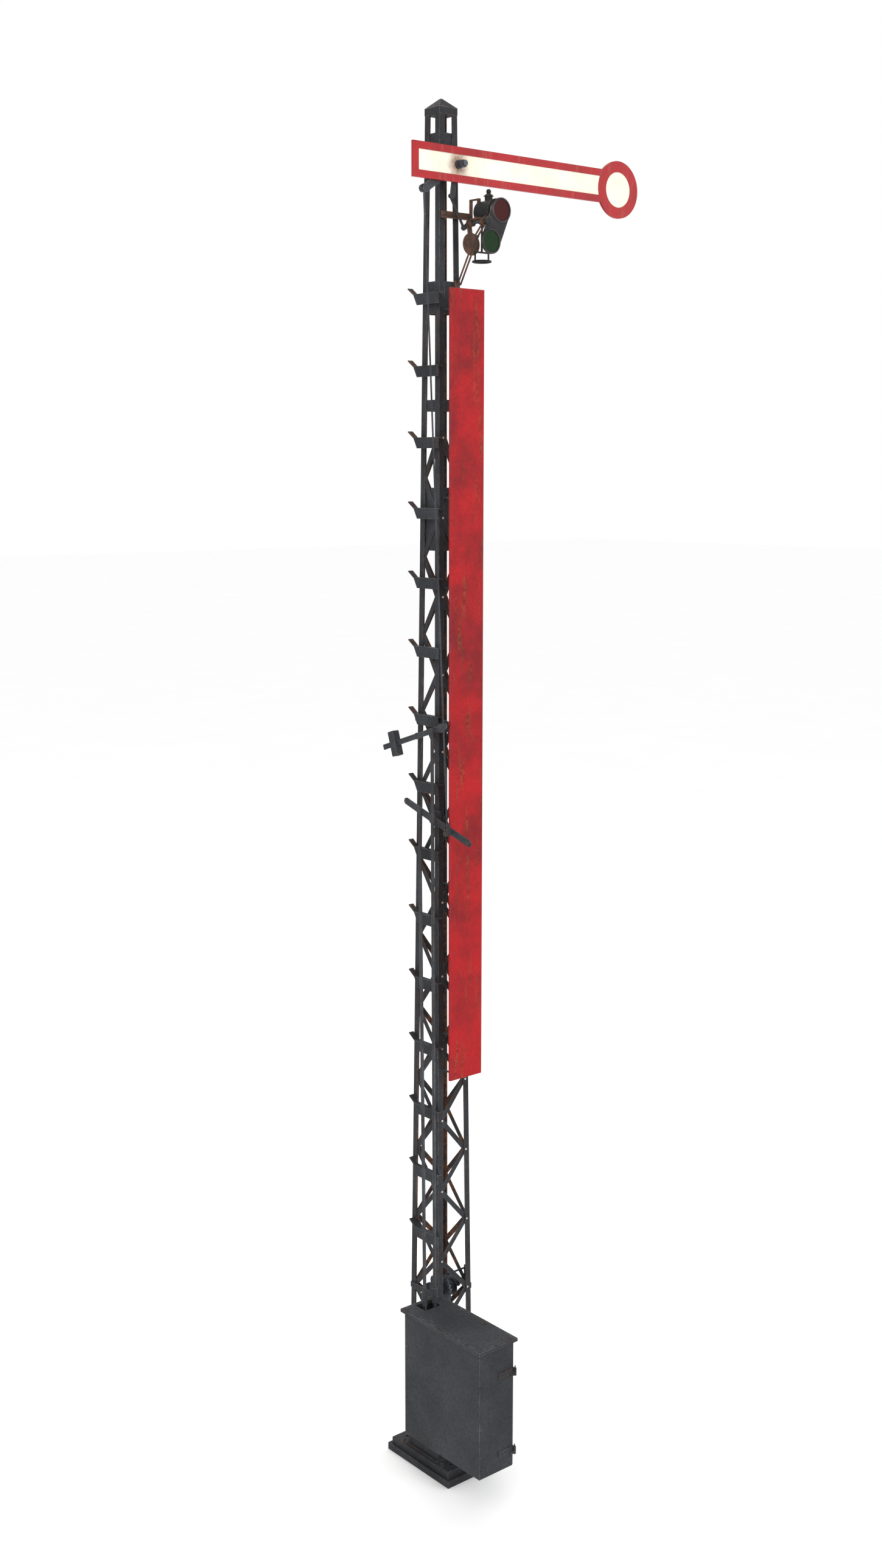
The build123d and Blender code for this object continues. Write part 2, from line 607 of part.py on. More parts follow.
def drive_crank():
    pitch_r = SECTOR_TEETH * MODULE / 2
    root_r, tip_r = pitch_r - 12, pitch_r + 7
    mid = pi - radians(CRANK_SWING / 2)
    step = 2 * pi / SECTOR_TEETH
    reach = ceil(radians(CRANK_SWING / 2 + 12) / step)
    edge = (reach + 0.5) * step
    arc = [(root_r * cos(mid + edge * t / 8), root_r * sin(mid + edge * t / 8)) for t in range(-8, 9)]
    sketch = make_face(Polyline((0, 0), *arc, close=True))
    for i in range(-reach, reach + 1):
        sketch += gear_tooth(root_r, tip_r, mid + i * step, 14, 6)
    sketch += Circle(34)
    window = [(150 * cos(mid + t), 150 * sin(mid + t)) for t in (-0.75, -0.25, 0.25, 0.75)]
    sketch -= make_face(Polyline((60 * cos(mid), 60 * sin(mid)), *window, close=True))
    plane = Plane(origin=(GEAR_X0, CRANK_Y, CRANK_Z), x_dir=(0, 1, 0), z_dir=(1, 0, 0))
    train = plane.location * extrude(sketch, GEAR_X1 - GEAR_X0)
    centre = (CRANK_Y, CRANK_Z)
    train += rod_x(28, *centre, ROD_A_X + 14, ROD_B_X - 9)
    for pin_arm, x in ((CRANK_ARM_A, ROD_A_X), (CRANK_ARM_B, ROD_B_X)):
        pin = crank_pin(pin_arm, 0)
        train += rod_x(EYE_PIN_R, *pin, x - 10, x + 10)
        for x0 in (x - 17, x + 9):
            train += flat_x(strap(centre, pin, 32), x0, x0 + 8) + rod_x(16, *pin, x0, x0 + 8)
    train += rod_x(TRAIN_SHAFT_R, *centre, FRAME_X[0] - 4, ROD_A_X - 9)
    train += rod_x(TRAIN_SHAFT_R, *centre, ROD_B_X + 9, FRAME_X[1] + 12)
    write("drive_crank", train)


def wire_pulley():
    axle_y = CRANK_Y - (SECTOR_TEETH + PINION_TEETH) * MODULE / 2
    pitch_r = PINION_TEETH * MODULE / 2
    root_r, tip_r = pitch_r - 12, pitch_r + 7
    step = 2 * pi / PINION_TEETH
    sketch = Circle(root_r)
    for i in range(PINION_TEETH):
        sketch += gear_tooth(root_r, tip_r, (i + 0.5) * step + mesh_phase(), 14, 6)
    plane = Plane(origin=(GEAR_X0, axle_y, CRANK_Z), x_dir=(0, 1, 0), z_dir=(1, 0, 0))
    gear = plane.location * extrude(sketch, GEAR_X1 - GEAR_X0)
    gear += rod_x(TRAIN_SHAFT_R, axle_y, CRANK_Z, FRAME_X[0] - 4, FRAME_X[1] + 12)
    gear += rod_x(30, axle_y, CRANK_Z, -350, GEAR_X0)
    rim = rod_x(PULLEY_R, axle_y, CRANK_Z, -350, -326) - rod_x(PULLEY_R - 22, axle_y, CRANK_Z, -360, -320)
    groove_plane = Plane(origin=(-338, axle_y, CRANK_Z), x_dir=(1, 0, 0), z_dir=(0, 0, 1))
    rim -= groove_plane.location * Rot(0, 90, 0) * Torus(PULLEY_R, 7)
    for i in range(5):
        angle = 2 * pi * i / 5
        far = (axle_y + (PULLEY_R - 15) * cos(angle), CRANK_Z + (PULLEY_R - 15) * sin(angle))
        rim += flat_x(strap((axle_y, CRANK_Z), far, 26), -343, -333)
    write("wire_pulley", gear + rim)


def mesh_phase():
    """Turns the pinion so that a gap faces the sector's tooth nearest the line of centres."""
    sector_step = 2 * pi / SECTOR_TEETH
    ahead = (radians(CRANK_SWING / 2) / sector_step) % 1
    return ahead * 2 * pi / PINION_TEETH


def drive_frame():
    axle_y = CRANK_Y - (SECTOR_TEETH + PINION_TEETH) * MODULE / 2
    sides = []
    for x in FRAME_X:
        side = block(x, x + FRAME_THICK, axle_y - 40, CRANK_Y + 40, BOX_Z0 + BOX_WALL, CRANK_Z + 40)
        side -= block(x - 1, x + 30, axle_y + 45, CRANK_Y - 45, BOX_Z0 + 60, CRANK_Z - 50)
        for y in (axle_y, CRANK_Y):
            side -= rod_x(TRAIN_SHAFT_R + RUN, y, CRANK_Z, x - 20, x + 40)
        sides.append(side)
    write("drive_frame", *sides)


# Spectacle, lamp and carrier

def orbit(length, angle):
    return (SPEC_X + length * cos(radians(angle)), SPEC_Z + length * sin(radians(angle)))


def spectacle():
    y0, y1 = SPEC_Y, SPEC_Y + 6
    red, green = orbit(LENS_ORBIT, RED_DEG), orbit(LENS_ORBIT, GREEN_DEG)
    plate = flat_y(strap(red, green, 2 * RIM_R), y0, y1)
    plate += rod_y(24, SPEC_X, SPEC_Z, y0 - 5, y1)
    for x, z in (red, green):
        plate += rod_y(RIM_R, x, z, y0 - 5, y1)
    for x, z in (red, green):
        plate -= rod_y(LENS_R, x, z, y0 - 30, y1 + 30)
    blind = orbit(LENS_ORBIT, GREEN_DEG)
    crank = orbit(SPEC_CRANK_R, SPEC_CRANK_DEG)
    c0, c1 = SPEC_CRANK_Y
    axle = rod_y(SPEC_AXLE_R, SPEC_X, SPEC_Z, y1, c1)
    axle += flat_y(strap((SPEC_X, SPEC_Z), crank, 26), c0, c1)
    axle += rod_y(13, SPEC_X, SPEC_Z, c0, c1) + rod_y(13, *crank, c0, c1)
    axle += rod_y(EYE_PIN_R, *crank, c1 - 1, -100) + rod_y(13, *crank, LINK_Y[1] + 0.6, -100)
    axle += rod_y(16, SPEC_X, SPEC_Z, BLINDER_Y[0] - 1, c0)
    write("spectacle_frame", plate)
    write("spectacle_axle", axle)
    blinder = rod_y(62, *blind, *BLINDER_Y) + flat_y(strap((SPEC_X, SPEC_Z), blind, 34), *BLINDER_Y)
    blinder += rod_y(22, SPEC_X, SPEC_Z, *BLINDER_Y)
    write("blinder_disc", blinder - rod_y(16, SPEC_X, SPEC_Z, -150, -50))
    for name, (x, z) in (("red_glass", red), ("green_glass", green)):
        write(name, rod_y(LENS_R - 0.1, x, z, y0 - 2, y0 + 3))


def spectacle_rod():
    crank = orbit(SPEC_CRANK_R, SPEC_CRANK_DEG)
    y0, y1 = LINK_Y
    bar = flat_y(strap(LINK_PIN, crank, 14), y0, y1)
    bar += rod_y(12, *LINK_PIN, y0, y1) + rod_y(16, *crank, y0, y1)
    bar -= rod_y(EYE_PIN_R + RUN, *LINK_PIN, -200, 0)
    bar -= rod_y(EYE_PIN_R + 5, *crank, -200, 0)
    write("spectacle_rod", bar)


def lamp_bracket():
    """An angle from the mast, turned up and forward over the lamp, clear of the blinder's swing."""
    back = -half(7598) - 0.2
    lamp_x, lamp_z = orbit(LENS_ORBIT, RED_DEG)
    bar = block(-60, 172, back - 5, back, 7598, 7636) + block(-60, 172, back - 17, back, 7598, 7603)
    bar += block(150, 172, back - 5, back, 7630, 7712)
    bar += block(150, 166, -150, back, 7704, 7712) + block(150, 166, -150, -135, 7670, 7712)
    write("lamp_bracket", bar - rod_y(LAMP_R + 0.2, lamp_x, lamp_z, -200, -100))


def lamp_strut():
    """Two parallel bars from the mast to the front bearing of the spectacle's axle."""
    bars = []
    for dx in (-11, 11):
        foot = (half(7240) - 8 + dx, -half(7240) - 8, 7240)
        knee = (SPEC_X - 8 + dx, -205, 7505)
        end = (SPEC_X - 4 + dx, -247, 7552)
        bars.append(rod(5, foot, knee) + rod(5, knee, end) + Pos(*knee) * Sphere(5))
    bearing = rod_y(20, SPEC_X, SPEC_Z, -260, -236)
    bearing += rod_y(20, SPEC_X, SPEC_Z, -160, -138)
    for y in (-245, -155):
        bearing += flat_y(strap((SPEC_X, SPEC_Z), orbit(LENS_ORBIT, RED_DEG), 34), y, y + 6)
    bearing += rod_y(5, SPEC_X - 17, SPEC_Z + 17, -240, -150)
    bearing -= rod_y(LAMP_R + 0.2, *orbit(LENS_ORBIT, RED_DEG), -300, -100)
    bearing -= rod_y(SPEC_AXLE_R + RUN, SPEC_X, SPEC_Z, -300, -100)
    anchor = block(half(7240) - 36, half(7240), -half(7200) - 8, -half(7200) - 0.2, 7215, 7262)
    ties = block(SPEC_X - 24, SPEC_X + 8, -204, -196, 7494, 7502)
    write("lamp_strut", bars[0] + bars[1] + bearing + anchor + ties)


def lamp():
    x, z = orbit(LENS_ORBIT, RED_DEG)
    body = rod_y(LAMP_R, x, z, -250, -128) + rod_y(LAMP_R + 4, x, z, -256, -246)
    body -= rod_y(LAMP_R - 12, x, z, -260, -240)
    write("lamp_body", body)
    write("lamp_lens", rod_y(LAMP_R - 12.3, x, z, -246, -240.1))
    crown = z + LAMP_R
    chimney = Pos(x, -185, crown + 10) * Cylinder(22, 40)
    chimney += Pos(x, -185, crown + 30) * Cone(30, 12, 14)
    chimney += Pos(x, -185, crown + 48) * Sphere(14)
    write("lamp_chimney", chimney - rod_y(LAMP_R + 0.2, x, z, -300, -100))
    stem_x, stem_y = 180.0, -145.0
    carrier = rod(6, (stem_x, stem_y, 7420), (stem_x, stem_y, z))
    carrier += rod(5, (stem_x - 50, stem_y, 7420), (stem_x + 50, stem_y, 7420))
    for side in (-50, 50):
        carrier += rod(5, (stem_x + side, stem_y, 7370), (stem_x + side, stem_y, 7424))
    carrier += Pos(stem_x, stem_y, 7370) * Torus(50, 6)
    write("lamp_carrier", carrier - rod_y(LAMP_R + 0.2, x, z, -300, -100))


# Lamp hoist winch

def winch():
    outer = half(1165)
    ends = []
    for side in (-1, 1):
        x0, x1 = sorted((side * (outer + 0.2), side * (outer + 8)))
        bar = block(x0, x1, -130, 130, 1165, 1200) + rod_x(24, 0, WINCH_Z, x0, x1)
        bar += block(x0, x1, PAWL_Y - 14, PAWL_Y + 14, 1190, PAWL_Z + 14)
        ends.append(bar - rod_x(10 + RUN, 0, WINCH_Z, x0 - 5, x1 + 5))
    pawl_pin = rod_x(6, PAWL_Y, PAWL_Z, -outer - 4, outer + 4)
    write("winch_bars", ends[0] + ends[1] + pawl_pin)
    axle = rod_x(10, 0, WINCH_Z, -outer - 14, outer + 14) + rod_x(40, 0, WINCH_Z, -75, 75)
    axle += rod_x(62, 0, WINCH_Z, -81, -75) + rod_x(62, 0, WINCH_Z, 75, 81)
    axle -= rod_x(40.1, 0, WINCH_Z, -6, 6) - rod_x(30, 0, WINCH_Z, -6, 6)
    write("winch_drum", axle)
    sketch = Circle(WINCH_WHEEL_R - 12) - Circle(30.1)
    for i in range(WINCH_TEETH):
        angle = 2 * pi * i / WINCH_TEETH
        sketch += gear_tooth(WINCH_WHEEL_R - 12, WINCH_WHEEL_R, angle, 18, 7)
    plane = Plane(origin=(-5.5, 0, WINCH_Z), x_dir=(0, 1, 0), z_dir=(1, 0, 0))
    write("ratchet_wheel", plane.location * extrude(sketch, 11))
    wheel_dir = degrees(atan2(WINCH_Z - PAWL_Z, -PAWL_Y))
    reach = hypot(PAWL_Y, PAWL_Z - WINCH_Z) - WINCH_WHEEL_R - 2
    nose = polar(PAWL_Y, PAWL_Z, reach, wheel_dir)
    pawl = rod_x(14, PAWL_Y, PAWL_Z, -12, 12) + flat_x(strap((PAWL_Y, PAWL_Z), nose, 12), -5, 5)
    write("winch_pawl", pawl - rod_x(6 + RUN, PAWL_Y, PAWL_Z, -30, 30))


os.makedirs("parts", exist_ok=True)
pedestal(base_plates())
mast_legs()
lacing()
rivets()
battens()
mast_head()
step_irons()
mast_board()
arm()
arm_shaft()
arm_crank()
arm_bearings()
pull_rod()
rod_lever()
lever_brackets()
drive_rods(weight_lever())
drive_box()
drive_lid()
drive_door()
box_brackets()
drive_crank()
wire_pulley()
drive_frame()
spectacle()
spectacle_rod()
lamp_bracket()
lamp_strut()
lamp()
winch()
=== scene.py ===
import json
import math

import bmesh
import bpy
from mathutils import Matrix, Vector


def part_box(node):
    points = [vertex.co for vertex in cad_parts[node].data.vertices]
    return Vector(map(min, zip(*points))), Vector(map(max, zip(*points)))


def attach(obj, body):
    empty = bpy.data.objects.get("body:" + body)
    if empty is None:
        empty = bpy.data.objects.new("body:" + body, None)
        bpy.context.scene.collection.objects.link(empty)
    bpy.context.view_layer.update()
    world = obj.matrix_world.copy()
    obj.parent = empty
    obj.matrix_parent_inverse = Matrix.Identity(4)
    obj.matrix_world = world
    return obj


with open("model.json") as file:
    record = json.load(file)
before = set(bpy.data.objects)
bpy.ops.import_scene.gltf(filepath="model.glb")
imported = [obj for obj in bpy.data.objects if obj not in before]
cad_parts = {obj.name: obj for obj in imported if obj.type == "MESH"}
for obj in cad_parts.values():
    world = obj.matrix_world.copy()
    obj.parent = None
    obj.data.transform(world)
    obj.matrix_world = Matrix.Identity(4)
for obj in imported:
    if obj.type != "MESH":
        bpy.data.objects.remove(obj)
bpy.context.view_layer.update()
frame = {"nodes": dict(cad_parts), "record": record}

# Colours, linear RGB
GREY_PAINT = (0.018, 0.020, 0.0235)
# Light grey for paint edges: partly bare metal, partly a painted highlight
GREY_LIGHT = (0.27, 0.29, 0.31)
RUST_DARK = (0.045, 0.020, 0.012)
RUST_LIGHT = (0.21, 0.085, 0.035)
BOARD_RED = (0.40, 0.006, 0.009)
BOARD_DARK = (0.15, 0.006, 0.009)
ARM_RED = (0.38, 0.007, 0.010)
ENAMEL = (0.84, 0.80, 0.70)
STEEL = (0.065, 0.073, 0.084)
ZINC = (0.42, 0.43, 0.44)
BLACK = (0.016, 0.016, 0.018)
GRIME = (0.34, 0.26, 0.19)
# Lighter edge colour for rusted steel: partly rubbed rust, partly a painted highlight
RUBBED_RUST_AND_HIGHLIGHT = (0.26, 0.22, 0.19)
# Bright edge colour for turned steel: partly rubbed steel, partly a painted highlight
RUBBED_STEEL_AND_HIGHLIGHT = (0.45, 0.46, 0.48)

# Places on the signal, metres: +Z up, the arm's face towards -Y
SHAFT_Z = 7.877
MAST_HALF_AT_HEAD = 0.0653
HEAD_RIVETS_Z = (7.982, 8.043)
DOOR_HINGES_Z = (1.006, 0.507)
BOX_SEAMS_X = (-0.402, -0.178)
BOX_SEAMS_Y = (-0.83, -0.171)
BOX_END_Y = -0.8451
BOX_SIDE_X = -0.4151
PEDESTAL_FACE = -0.1501
PEDESTAL_RIVETS_Z = (0.9, 0.13)
ROD_LEVER_NUTS = ((-0.1541, 0.139, 4.26265), (-0.1541, -0.43, 4.094))
LAMP_BRACKET_BOLTS = ((-0.045, -0.0746, 7.622), (0.05, -0.0746, 7.622))
BEARING_FACE_Y = -0.07556
BEARING_BOLTS_Z = (7.828, 7.927)
LENS_FRONT_Y = -0.2975

# Camera
CAMERA_PLACE = (-6.6035, -7.9089, 6.171)
CAMERA_HEADING = 50.14
CAMERA_PITCH = -9.93
CAMERA_LENS = 40.31

LEFT, RIGHT, FRONT, UP = (-1, 0, 0), (1, 0, 0), (0, -1, 0), (0, 0, 1)
FLOOR_COLOUR = (0.985, 0.985, 0.985)


# Shader building

class Graph:
    """A material's node tree, with short calls for the nodes used here."""

    def __init__(self, name):
        self.material = bpy.data.materials.new(name)
        self.material.use_nodes = True
        self.nodes = self.material.node_tree.nodes
        self.links = self.material.node_tree.links
        self.shader = self.nodes["Principled BSDF"]
        self.place = self.nodes.new("ShaderNodeTexCoord").outputs["Object"]

    def set(self, socket, value):
        if isinstance(value, bpy.types.NodeSocket):
            self.links.new(value, socket)
        elif isinstance(value, tuple) and len(value) == 3 and socket.type == "RGBA":
            socket.default_value = (*value, 1)
        else:
            socket.default_value = value

    def stretched(self, scale):
        node = self.nodes.new("ShaderNodeMapping")
        node.inputs["Scale"].default_value = scale
        self.set(node.inputs["Vector"], self.place)
        return node.outputs[0]

    def noise(self, scale, detail=4.0, rough=0.6, stretch=None):
        node = self.nodes.new("ShaderNodeTexNoise")
        node.inputs["Scale"].default_value = scale
        node.inputs["Detail"].default_value = detail
        node.inputs["Roughness"].default_value = rough
        self.set(node.inputs["Vector"], self.stretched(stretch) if stretch else self.place)
        return node.outputs["Fac"]

    def steps(self, value, low, high):
        """0 below low, 1 above high, smooth between."""
        node = self.nodes.new("ShaderNodeMapRange")
        node.interpolation_type = "SMOOTHSTEP"
        self.set(node.inputs["Value"], value)
        node.inputs["From Min"].default_value = low
        node.inputs["From Max"].default_value = high
        return node.outputs["Result"]

    def math(self, operation, a, b=0.0):
        node = self.nodes.new("ShaderNodeMath")
        node.operation = operation
        node.use_clamp = True
        self.set(node.inputs[0], a)
        self.set(node.inputs[1], b)
        return node.outputs[0]

    def mix(self, amount, a, b):
        node = self.nodes.new("ShaderNodeMix")
        node.data_type = "RGBA"
        self.set(node.inputs["Factor"], amount)
        self.set(node.inputs[6], a)
        self.set(node.inputs[7], b)
        return node.outputs[2]

    def edges(self, radius):
        """1 on sharp edges, 0 on flats: how far a rounded normal leaves the true one."""
        bevel = self.nodes.new("ShaderNodeBevel")
        bevel.samples = 4
        bevel.inputs["Radius"].default_value = radius
        true = self.nodes.new("ShaderNodeNewGeometry").outputs["True Normal"]
        node = self.nodes.new("ShaderNodeVectorMath")
        node.operation = "DOT_PRODUCT"
        self.set(node.inputs[0], bevel.outputs[0])
        self.set(node.inputs[1], true)
        return self.steps(self.math("SUBTRACT", 1.0, node.outputs["Value"]), 0.01, 0.22)

    def inward(self):
        """1 on faces that look towards the mast's axis."""
        flat = self.nodes.new("ShaderNodeVectorMath")
        flat.operation = "MULTIPLY"
        self.set(flat.inputs[0], self.place)
        flat.inputs[1].default_value = (1, 1, 0)
        unit = self.nodes.new("ShaderNodeVectorMath")
        unit.operation = "NORMALIZE"
        self.set(unit.inputs[0], flat.outputs[0])
        node = self.nodes.new("ShaderNodeVectorMath")
        node.operation = "DOT_PRODUCT"
        self.set(node.inputs[0], unit.outputs[0])
        self.set(node.inputs[1], self.nodes.new("ShaderNodeNewGeometry").outputs["Normal"])
        return self.steps(self.math("SUBTRACT", 0.0, node.outputs["Value"]), 0.25, 0.6)

    def distance(self, centre, squash):
        """Distance from a point, with each axis scaled."""
        shift = self.nodes.new("ShaderNodeMapping")
        shift.vector_type = "POINT"
        shift.inputs["Scale"].default_value = squash
        shift.inputs["Location"].default_value = tuple(-c * s for c, s in zip(centre, squash))
        self.set(shift.inputs["Vector"], self.place)
        node = self.nodes.new("ShaderNodeVectorMath")
        node.operation = "LENGTH"
        self.set(node.inputs[0], shift.outputs[0])
        return node.outputs["Value"]

    def bump(self, height, strength, distance):
        node = self.nodes.new("ShaderNodeBump")
        node.inputs["Strength"].default_value = strength
        node.inputs["Distance"].default_value = distance
        self.set(node.inputs["Height"], height)
        self.set(self.shader.inputs["Normal"], node.outputs[0])

    def finish(self, colour, rough, metallic=0.0):
        self.set(self.shader.inputs["Base Color"], colour)
        self.set(self.shader.inputs["Roughness"], rough)
        self.set(self.shader.inputs["Metallic"], metallic)
        return self.material


def worn_paint(name, paint, faded, rust=0.62, streak=0.6, edge=0.8, rough=0.55, inside=False):
    """Old paint: faded in patches, chipped to rust in spots, streaked down, and lighter on its edges,
    partly rubbed bare there and partly a painted highlight.
    """
    g = Graph(name)
    g.shader.inputs["Specular IOR Level"].default_value = 0.2
    patches = g.steps(g.noise(3.0, 6, 0.65), 0.35, 0.7)
    colour = g.mix(patches, paint, faded)
    grain = g.steps(g.noise(60, 5, 0.7), 0.3, 0.75)
    darker = tuple(c * 0.6 for c in paint)
    colour = g.mix(g.math("MULTIPLY", grain, 0.45), colour, darker)
    run = g.steps(g.noise(4, 5, 0.6, (9, 9, 0.7)), streak, streak + 0.16)
    spots = g.steps(g.noise(17, 8, 0.75), rust, rust + 0.07)
    rusty = g.mix(g.steps(g.noise(45, 4), 0.35, 0.65), RUST_DARK, RUST_LIGHT)
    amount = g.math("MAXIMUM", spots, g.math("MULTIPLY", run, 0.55))
    if inside:
        damp = g.math("MULTIPLY", g.inward(), g.steps(g.noise(6, 6, 0.7), 0.38, 0.6))
        amount = g.math("MAXIMUM", amount, g.math("MULTIPLY", damp, 0.8))
    colour = g.mix(amount, colour, rusty)
    # Sharp edges are lightened in patches: partly paint rubbed bare, partly a painted highlight.
    edge_wear_and_highlight = g.math("MULTIPLY", g.edges(0.004), g.steps(g.noise(22, 5, 0.7), 0.36, 0.58))
    colour = g.mix(g.math("MULTIPLY", edge_wear_and_highlight, edge), colour, g.mix(patches, RUST_LIGHT, GREY_LIGHT))
    gloss = g.math("ADD", g.math("MULTIPLY", grain, 0.18), rough)
    g.bump(g.math("SUBTRACT", g.math("MULTIPLY", grain, 0.4), amount), 0.35, 0.0012)
    return g.finish(colour, g.math("ADD", gloss, g.math("MULTIPLY", amount, 0.3)))


def rusted_steel(name):
    """Bare forged steel under an even coat of brown rust, with lighter grey edges, partly rubbed and
    partly a painted highlight.
    """
    g = Graph(name)
    blotches = g.steps(g.noise(14, 7, 0.7), 0.35, 0.65)
    rusty = g.mix(blotches, (0.060, 0.030, 0.020), (0.16, 0.075, 0.042))
    colour = g.mix(g.steps(g.noise(5, 5), 0.5, 0.72), rusty, GREY_PAINT)
    pits = g.steps(g.noise(90, 6, 0.75), 0.4, 0.7)
    colour = g.mix(g.math("MULTIPLY", pits, 0.5), colour, RUST_DARK)
    # Sharp edges are lightened: partly rust rubbed off, partly a painted highlight.
    colour = g.mix(g.math("MULTIPLY", g.edges(0.002), 0.65), colour, RUBBED_RUST_AND_HIGHLIGHT)
    g.bump(pits, 0.45, 0.001)
    return g.finish(colour, g.math("ADD", g.math("MULTIPLY", pits, 0.2), 0.6), 0.25)


def greased_steel(name, base, shine=0.42):
    """Turned steel with faint lathe rings, dark grease and a few rust freckles."""
    g = Graph(name)
    colour = g.mix(g.steps(g.noise(9, 6, 0.7), 0.38, 0.68), base, tuple(c * 2.1 for c in base))
    freckles = g.steps(g.noise(70, 6, 0.7), 0.62, 0.68)
    colour = g.mix(g.math("MULTIPLY", freckles, 0.7), colour, RUST_LIGHT)
    # Sharp edges are lightened: partly rubbed bright steel, partly a painted highlight.
    colour = g.mix(g.math("MULTIPLY", g.edges(0.0015), 0.6), colour, RUBBED_STEEL_AND_HIGHLIGHT)
    rings = g.noise(30, 3, 0.6, (1, 14, 1))
    g.bump(rings, 0.25, 0.0006)
    return g.finish(colour, g.math("ADD", g.math("MULTIPLY", rings, 0.25), shine), 0.85)


def enamel(name, colour_a, colour_b, stain=True):
    """Vitreous enamel, aged in patches and chipped, with a rust stain round the shaft."""
    g = Graph(name)
    colour = g.mix(g.steps(g.noise(4.5, 6, 0.65), 0.3, 0.75), colour_a, colour_b)
    chips = g.steps(g.noise(26, 7, 0.7), 0.71, 0.74)
    rain = g.steps(g.noise(5, 5, 0.6, (10, 10, 0.9)), 0.52, 0.75)
    colour = g.mix(g.math("MULTIPLY", rain, 0.16), colour, GRIME)
    amount = chips
    if stain:
        spread = g.distance((0, 0, SHAFT_Z), (1, 0, 0.8))
        ragged = g.math("ADD", spread, g.math("MULTIPLY", g.noise(30, 6, 0.7), 0.05))
        near = g.math("SUBTRACT", 1.0, g.steps(ragged, 0.04, 0.12))
        amount = g.math("MAXIMUM", chips, g.math("MULTIPLY", near, 0.8))
    blotches = g.steps(g.noise(60, 4), 0.35, 0.65)
    rusty = g.mix(blotches, (0.10, 0.035, 0.018), (0.33, 0.13, 0.055))
    colour = g.mix(amount, colour, rusty)
    worn = tuple(c * 0.35 for c in colour_a)
    colour = g.mix(g.math("MULTIPLY", g.edges(0.0025), 0.7), colour, worn)
    g.bump(g.math("SUBTRACT", g.math("MULTIPLY", g.noise(12, 3), 0.3), amount), 0.3, 0.001)
    g.shader.inputs["Specular IOR Level"].default_value = 0.22
    return g.finish(colour, g.math("ADD", g.math("MULTIPLY", amount, 0.4), 0.3))


def signal_glass(name, deep, bright):
    """Coloured spectacle glass, dusty in patches."""
    g = Graph(name)
    dust = g.steps(g.noise(24, 6, 0.7), 0.45, 0.8)
    colour = g.mix(g.math("MULTIPLY", dust, 0.5), deep, bright)
    g.shader.inputs["Transmission Weight"].default_value = 0.1
    g.shader.inputs["Specular IOR Level"].default_value = 0.06
    g.shader.inputs["IOR"].default_value = 1.5
    g.bump(g.noise(40, 3), 0.15, 0.0008)
    return g.finish(colour, g.math("ADD", g.math("MULTIPLY", dust, 0.25), 0.22))


MATERIALS = {
    "mast_paint": worn_paint("mast_paint", GREY_PAINT, (0.036, 0.040, 0.045), rust=0.62, inside=True),
    "box_paint": worn_paint("box_paint", (0.021, 0.0235, 0.027), (0.037, 0.040, 0.045),
                            rust=0.69, streak=0.68),
    "zinc_rivets": greased_steel("zinc_rivets", ZINC, 0.5),
    "board_red": worn_paint("board_red", BOARD_RED, BOARD_DARK,
                            rust=0.66, streak=0.55, edge=0.6, rough=0.5),
    "arm_red": enamel("arm_red", ARM_RED, (0.26, 0.006, 0.009), stain=False),
    "arm_white": enamel("arm_white", ENAMEL, (0.76, 0.68, 0.53)),
    "shaft_steel": greased_steel("shaft_steel", STEEL),
    "rusted_steel": rusted_steel("rusted_steel"),
    "lever_paint": worn_paint("lever_paint", (0.026, 0.029, 0.034), (0.055, 0.061, 0.068),
                              rust=0.68, streak=0.7, edge=0.9),
    "lamp_black": worn_paint("lamp_black", BLACK, (0.035, 0.035, 0.037), rust=0.66, streak=0.68),
    "red_glass": signal_glass("red_glass", (0.040, 0.0005, 0.0006), (0.065, 0.0012, 0.0016)),
    "green_glass": signal_glass("green_glass", (0.0008, 0.020, 0.0012), (0.0012, 0.034, 0.002)),
    "lens_glass": signal_glass("lens_glass", (0.55, 0.57, 0.58), (0.75, 0.74, 0.70)),
}

SLOT_OF = {row["node"]: row["material_slot"] for row in frame["record"]["subparts"]}
for node, piece in frame["nodes"].items():
    piece.data.materials.clear()
    piece.data.materials.append(MATERIALS[SLOT_OF[node]])


# Small fittings that the functional model leaves out

def turned(axis):
    """Rotation that takes +Z to an axis."""
    return Vector((0, 0, 1)).rotation_difference(Vector(axis)).to_matrix().to_4x4()


def add_lathe(mesh, place, axis, profile, sides=28):
    """A turned or faceted shape: rings of (radius, height) along an axis."""
    matrix = Matrix.Translation(place) @ turned(axis)
    rings = []
    for radius, height in profile:
        ring = []
        for i in range(sides):
            angle = 2 * math.pi * i / sides
            spot = Vector((radius * math.cos(angle), radius * math.sin(angle), height))
            ring.append(mesh.verts.new(matrix @ spot))
        rings.append(ring)
    for low, high in zip(rings, rings[1:]):
        for i in range(sides):
            mesh.faces.new((low[i], low[(i + 1) % sides], high[(i + 1) % sides], high[i]))
    mesh.faces.new(list(reversed(rings[0])))
    mesh.faces.new(rings[-1])


def finish_piece(mesh, name, body, slot):
    """Turns a working mesh into a piece that rides on a body and has a material slot."""
    bmesh.ops.recalc_face_normals(mesh, faces=mesh.faces)
    data = bpy.data.meshes.new(name)
    mesh.to_mesh(data)
    mesh.free()
    piece = bpy.data.objects.new(name, data)
    bpy.context.scene.collection.objects.link(piece)
    data.materials.append(MATERIALS[slot])
    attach(piece, body)
    return piece


def hex_profile(radius, height):
    """A bolt head's outline with both ends chamfered."""
    chamfered_foot = [(radius * 0.94, 0.0), (radius, height * 0.12)]
    return chamfered_foot + [(radius, height * 0.82), (radius * 0.86, height)]


